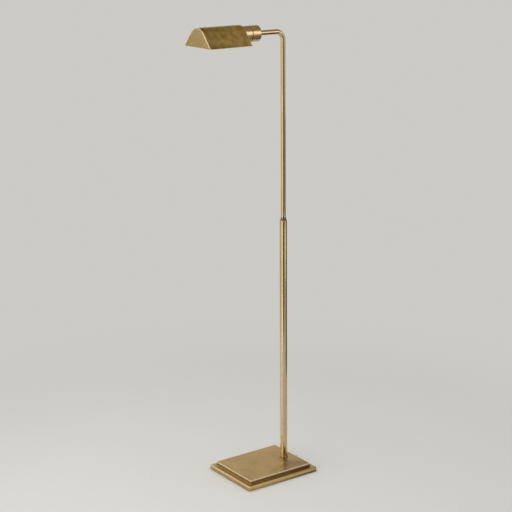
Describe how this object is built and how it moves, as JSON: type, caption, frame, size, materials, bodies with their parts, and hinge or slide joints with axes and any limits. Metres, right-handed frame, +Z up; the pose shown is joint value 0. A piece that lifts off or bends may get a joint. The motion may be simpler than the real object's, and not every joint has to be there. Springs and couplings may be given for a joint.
{
  "type": "adjustable floor lamp",
  "caption": "Floor lamp with a stepped rectangular base, telescoping column, bent arm and a tent-shaped metal shade that turns on the arm.",
  "frame": {"origin": "middle of the base's underside, on the floor", "axes": "+Z up along the column; the arm and shade reach towards -X; +Y is the side of the switch knob"},
  "size_m": [0.3781, 0.234, 1.4977],
  "materials": {
    "antique_brass": "satin",
    "base_brass": "satin",
    "plain_brass": "satin",
    "steel": "satin",
    "nylon": "matte",
    "felt": "matte",
    "rubber": "matte",
    "porcelain": "gloss",
    "bulb_metal": "satin",
    "bulb_glass": "gloss"
  },
  "bodies": {
    "base": {"felt_pad": "felt", "base_lower_plate": "base_brass", "base_upper_plate": "base_brass", "plate_screws": "steel", "cord_bush": "rubber", "base_stud": "steel", "stud_washer": "steel", "stud_nut": "steel", "foot_ring": "antique_brass", "column_plug": "plain_brass", "column_tube": "antique_brass", "top_bush": "antique_brass", "bush_liner": "nylon"},
    "slider": {"mast_slider": "nylon", "brake_rings": "rubber"},
    "mast": {"mast_tube": "antique_brass", "stop_collar": "plain_brass", "slider_clip": "steel", "mast_end_bush": "nylon", "arm_plug": "plain_brass", "swivel_nipple": "steel", "rear_cup": "antique_brass", "swivel_spacer": "plain_brass", "swivel_plate": "plain_brass", "stop_pin": "steel", "friction_washer": "nylon", "thrust_washer": "steel", "spring_washer": "steel", "swivel_nut": "steel"},
    "head": {"front_cup": "antique_brass", "socket_bracket": "steel", "bracket_screws": "steel", "socket_body": "porcelain", "socket_shell": "plain_brass", "centre_contact": "plain_brass", "switch_bush": "antique_brass", "shade_cover": "antique_brass", "front_panel": "antique_brass", "rear_panel": "antique_brass", "shade_screws": "steel", "bulb_cap": "bulb_metal", "bulb_glass": "bulb_glass"},
    "knob": {"switch_shaft": "steel", "switch_knob": "antique_brass"}
  },
  "joints": [
    {"name": "mast_slide", "type": "slide", "parent": "base", "child": "slider", "axis": [0, 0, 1], "range_m": [-0.56, 0]},
    {"name": "mast_swivel", "type": "hinge", "parent": "slider", "child": "mast", "pos_m": [0.086, 0, 1], "axis": [0, 0, 1], "range_deg": [-180, 180]},
    {"name": "shade_tilt", "type": "hinge", "parent": "mast", "child": "head", "pos_m": [-0.0477, 0, 1.468], "axis": [-1, 0, 0], "range_deg": [-90, 90]},
    {"name": "switch_turn", "type": "hinge", "parent": "head", "child": "knob", "pos_m": [-0.0674, 0.03, 1.468], "axis": [0, 1, 0], "continuous": true}
  ]
}
